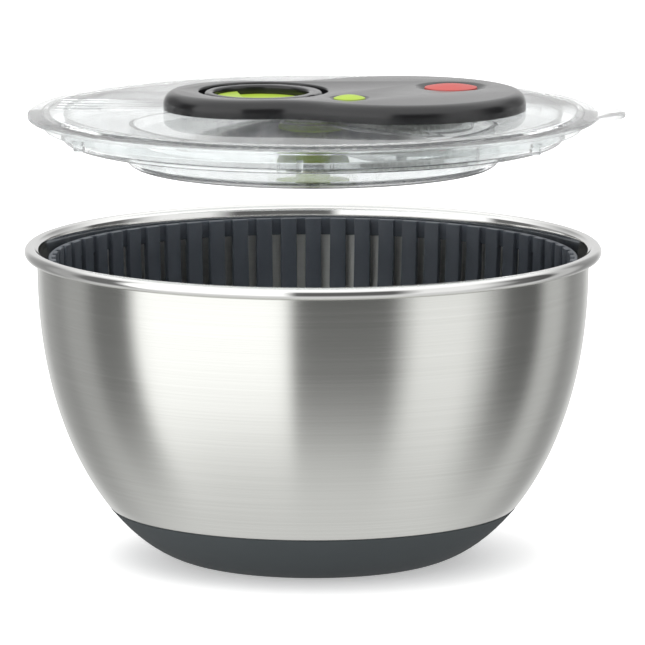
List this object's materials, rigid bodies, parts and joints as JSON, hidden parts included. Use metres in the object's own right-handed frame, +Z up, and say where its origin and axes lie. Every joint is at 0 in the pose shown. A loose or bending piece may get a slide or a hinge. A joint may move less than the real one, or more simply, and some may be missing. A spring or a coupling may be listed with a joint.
{
  "type": "salad spinner",
  "caption": "Salad spinner: steel bowl on a non-slip base, slotted basket, and a clear lid with a pull ring, a brake button and a ring release button.",
  "frame": {"origin": "the bowl's axis at the underside of the non-slip base", "axes": "+Z up along the bowl's axis, +X towards the lid's lift tab and the brake button, -Y towards the release button"},
  "size_m": [0.2656, 0.2552, 0.2096],
  "materials": {
    "brushed_steel": "brushed around the outside, polished inside and on the rim",
    "base_rubber": "matte anthracite",
    "basket_plastic": "fine satin grain",
    "white_plastic": "natural acetal, satin",
    "clear_plastic": "clear, glossy",
    "black_gloss": "high gloss",
    "green_plastic": "satin gloss",
    "red_plastic": "satin gloss",
    "zinc_steel": "bright zinc",
    "spring_steel": "bright drawn wire",
    "bronze": "sintered",
    "cord": "braided"
  },
  "bodies": {
    "bowl": {"bowl_shell": "brushed_steel", "base_pad": "base_rubber"},
    "foot": {"pivot_foot": "white_plastic"},
    "basket": {"basket": "basket_plastic"},
    "lid": {"lid_shell": "clear_plastic", "housing_cover": "black_gloss", "gear_cover": "clear_plastic", "finger_well": "green_plastic", "cord_guide": "white_plastic", "cord_run": "cord", "cord_tail": "cord", "reel_axle": "zinc_steel", "axle_clip": "spring_steel", "spindle_bush": "bronze", "case_screws": "zinc_steel", "brake_spring": "spring_steel", "release_spring": "spring_steel"},
    "cover": {"basket_cover": "clear_plastic", "cover_hub": "green_plastic", "spindle": "zinc_steel", "spindle_clip": "spring_steel", "spindle_nut": "zinc_steel", "pinion": "white_plastic"},
    "gear": {"drive_gear": "white_plastic"},
    "reel": {"reel": "white_plastic", "cord_winding": "cord", "mainspring": "spring_steel"},
    "pawl_left": {"pawl_b": "red_plastic"},
    "pawl_right": {"pawl_a": "red_plastic"},
    "ring": {"pull_ring": "black_gloss", "cord_knot": "cord"},
    "brake": {"brake_button": "red_plastic", "brake_pad": "base_rubber"},
    "release": {"release_button": "green_plastic"},
    "latch": {"ring_latch": "black_gloss"}
  },
  "joints": [
    {"name": "basket_lift", "type": "slide", "parent": "bowl", "child": "foot", "axis": [0, 0, 1], "range_m": [0, 0.16]},
    {"name": "basket_spin", "type": "hinge", "parent": "foot", "child": "basket", "pos_m": [0, 0, 0.012], "axis": [0, 0, 1], "range_deg": [0, 4375]},
    {"name": "lid_lift", "type": "slide", "parent": "foot", "child": "lid", "axis": [0, 0, 1], "range_m": [-0.057, 0.1]},
    {"name": "cover_spin", "type": "hinge", "parent": "lid", "child": "cover", "pos_m": [0, 0, 0.18], "axis": [0, 0, 1], "range_deg": [0, 4376]},
    {"name": "gear_spin", "type": "hinge", "parent": "lid", "child": "gear", "pos_m": [0.039, 0, 0.187], "axis": [0, 0, 1], "range_deg": [-1719, 0]},
    {"name": "reel_spin", "type": "hinge", "parent": "lid", "child": "reel", "pos_m": [0.039, 0, 0.195], "axis": [0, 0, 1], "range_deg": [-1719, 0]},
    {"name": "pawl_right_swing", "type": "hinge", "parent": "reel", "child": "pawl_right", "pos_m": [0.0485, 0, 0.19], "axis": [0, 0, 1], "range_deg": [-22, 0]},
    {"name": "pawl_left_swing", "type": "hinge", "parent": "reel", "child": "pawl_left", "pos_m": [0.0295, 0, 0.19], "axis": [0, 0, 1], "range_deg": [-22, 0]},
    {"name": "ring_pull", "type": "slide", "parent": "lid", "child": "ring", "axis": [0, 0, 1], "range_m": [0, 0.4501], "deforming": ["cord_tail"]},
    {"name": "brake_press", "type": "slide", "parent": "lid", "child": "brake", "axis": [0, 0, -1], "range_m": [0, 0.003], "stiffness_N_per_m": 900, "springref_m": -0.0015, "deforming": ["brake_spring"]},
    {"name": "release_press", "type": "slide", "parent": "lid", "child": "release", "axis": [0, 0, -1], "range_m": [0, 0.0018], "stiffness_N_per_m": 700, "springref_m": -0.0015, "deforming": ["release_spring"]},
    {"name": "latch_slide", "type": "slide", "parent": "lid", "child": "latch", "axis": [0.8348, -0.5506, 0], "range_m": [0, 0.0027]}
  ],
  "couplings": [
    {"joint": "cover_spin", "follows": "basket_spin", "ratio": 1},
    {"joint": "gear_spin", "follows": "basket_spin", "ratio": -0.39286},
    {"joint": "reel_spin", "follows": "basket_spin", "ratio": -0.39286},
    {"joint": "ring_pull", "follows": "basket_spin", "m_per_rad": 0.0058929},
    {"joint": "latch_slide", "follows": "release_press", "ratio": 1.5}
  ]
}
